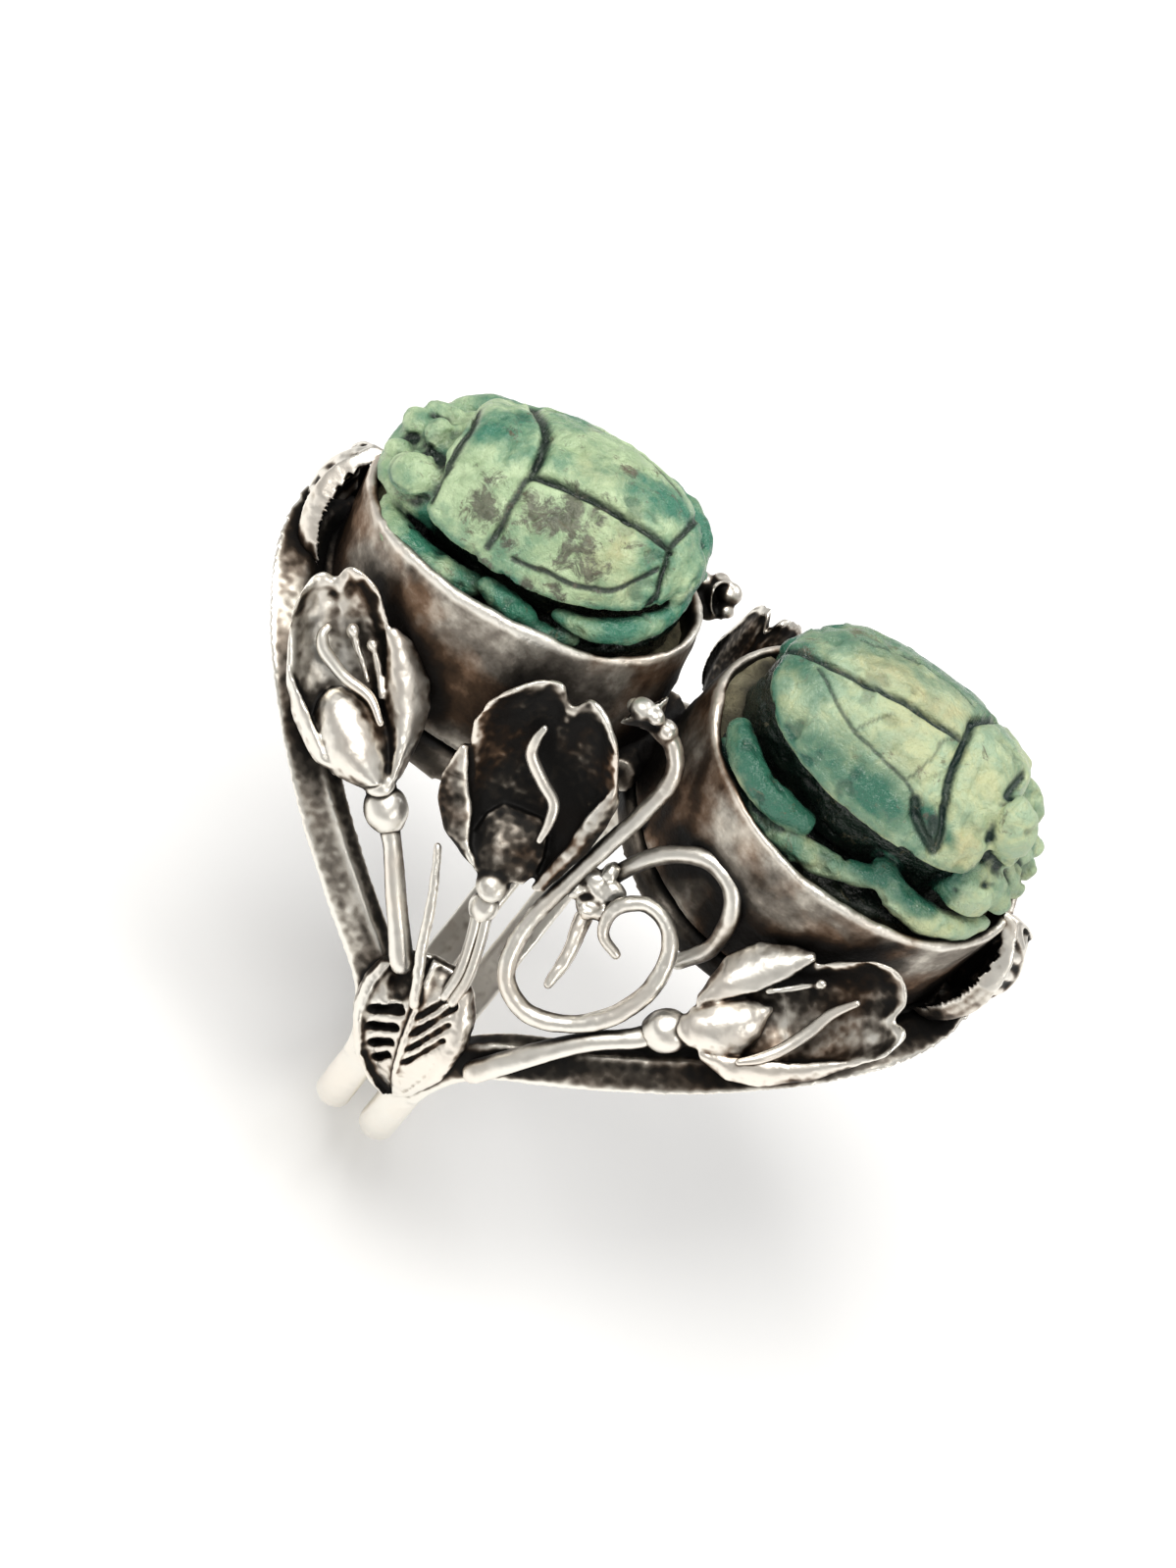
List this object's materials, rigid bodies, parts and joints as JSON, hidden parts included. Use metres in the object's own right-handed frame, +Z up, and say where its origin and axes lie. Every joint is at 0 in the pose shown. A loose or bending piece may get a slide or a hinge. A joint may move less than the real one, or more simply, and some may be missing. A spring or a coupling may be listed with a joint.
{
  "type": "double scarab finger ring",
  "caption": "Silver finger ring with two oval bezels end to end, each holding a carved green scarab, and openwork flower shoulders on a two-wire shank.",
  "frame": {"origin": "centre of the finger hole, midway between the two bezels along the finger", "axes": "+X along the finger towards the taller bezel, +Z up between the two bezels, -Y towards the shoulder that the picture shows"},
  "size_m": [0.03, 0.0212, 0.0296],
  "materials": {
    "wall_silver": "oxidised, worn bright on the rim",
    "band_silver": "drawn strip, worn bright on its edges",
    "dark_silver": "heavily oxidised, rough with solder",
    "ornament_silver": "stamped and polished, dark in the recesses",
    "left_scarab_glaze": "worn pale green glaze with dark specks",
    "right_scarab_glaze": "worn glaze, yellow-green above and teal at the sides",
    "bedding": "sandy setting cement"
  },
  "bodies": {
    "root": {"bezel_joint": "dark_silver", "far_granules": "ornament_silver", "far_leaf": "ornament_silver", "far_left_bead": "ornament_silver", "far_left_flower": "ornament_silver", "far_left_pistil": "ornament_silver", "far_left_stem": "ornament_silver", "far_loop": "ornament_silver", "far_middle_bead": "ornament_silver", "far_middle_flower": "ornament_silver", "far_middle_pistil": "ornament_silver", "far_middle_stem": "ornament_silver", "far_right_bead": "ornament_silver", "far_right_flower": "ornament_silver", "far_right_pistil": "ornament_silver", "far_right_stem": "ornament_silver", "far_scroll": "ornament_silver", "far_tendril": "ornament_silver", "left_band": "band_silver", "left_bedding": "bedding", "left_bezel_base": "dark_silver", "left_bezel_wall": "wall_silver", "left_end_leaf": "ornament_silver", "left_scarab": "left_scarab_glaze", "near_granules": "ornament_silver", "near_leaf": "ornament_silver", "near_left_bead": "ornament_silver", "near_left_flower": "ornament_silver", "near_left_pistil": "ornament_silver", "near_left_stem": "ornament_silver", "near_loop": "ornament_silver", "near_middle_bead": "ornament_silver", "near_middle_flower": "ornament_silver", "near_middle_pistil": "ornament_silver", "near_middle_stem": "ornament_silver", "near_right_bead": "ornament_silver", "near_right_flower": "ornament_silver", "near_right_pistil": "ornament_silver", "near_right_stem": "ornament_silver", "near_scroll": "ornament_silver", "near_tendril": "ornament_silver", "right_band": "band_silver", "right_bedding": "bedding", "right_bezel_base": "dark_silver", "right_bezel_wall": "wall_silver", "right_end_leaf": "ornament_silver", "right_scarab": "right_scarab_glaze"}
  },
  "joints": []
}
